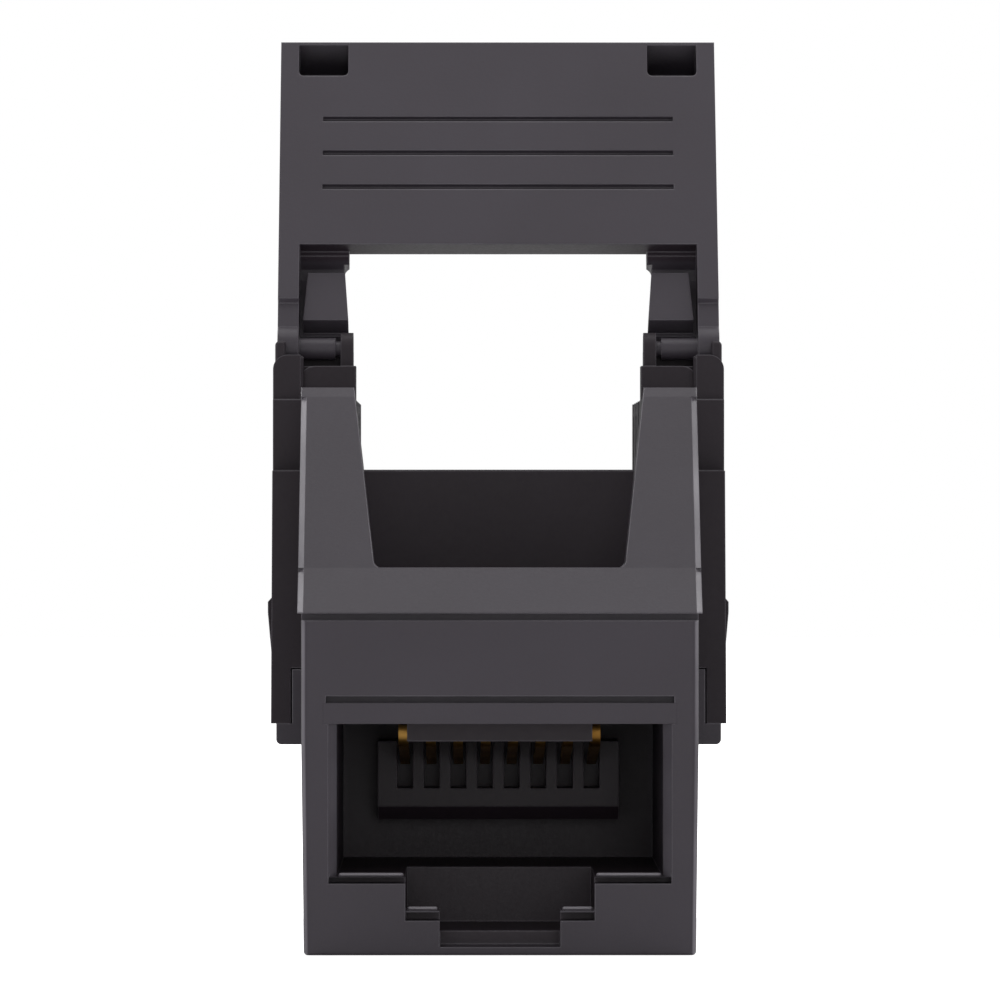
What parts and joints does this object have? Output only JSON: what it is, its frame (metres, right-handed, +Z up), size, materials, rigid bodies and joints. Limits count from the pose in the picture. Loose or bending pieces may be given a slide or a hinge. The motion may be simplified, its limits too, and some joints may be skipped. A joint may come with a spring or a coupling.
{
  "type": "keystone jack",
  "caption": "Modular data jack that snaps into a keystone opening, with a plug port in front and a hinged wire-termination cap swung open.",
  "frame": {"origin": "middle of the bottom front edge of the nose, where it would meet the panel's front plane", "axes": "+Z up, the plug port faces -Y, +X to the right seen from the front"},
  "size_m": [0.0176, 0.0254, 0.0344],
  "materials": {
    "housing_black": "fine-grain moulded thermoplastic, black, satin",
    "block_black": "fine-grain moulded thermoplastic, black, satin",
    "cap_black": "fine-grain moulded thermoplastic, black, satin",
    "carrier_black": "moulded thermoplastic, black",
    "board_laminate": "glass-epoxy laminate with green solder mask",
    "contact_gold": "gold-plated phosphor bronze",
    "blade_tin": "tin-plated phosphor bronze"
  },
  "bodies": {
    "jack": {"jack_housing": "housing_black", "contact_carrier": "carrier_black", "circuit_board": "board_laminate", "terminal_block": "block_black", "contact_1": "contact_gold", "contact_2": "contact_gold", "contact_3": "contact_gold", "contact_4": "contact_gold", "contact_5": "contact_gold", "contact_6": "contact_gold", "contact_7": "contact_gold", "contact_8": "contact_gold", "idc_terminal_1": "blade_tin", "idc_terminal_2": "blade_tin", "idc_terminal_3": "blade_tin", "idc_terminal_4": "blade_tin", "idc_terminal_5": "blade_tin", "idc_terminal_6": "blade_tin", "idc_terminal_7": "blade_tin", "idc_terminal_8": "blade_tin"},
    "cap": {"termination_cap": "cap_black"}
  },
  "joints": [
    {"name": "cap_hinge", "type": "hinge", "parent": "jack", "child": "cap", "pos_m": [0, 0.012, 0.02234], "axis": [-1, 0, 0], "range_deg": [0, 63]}
  ]
}
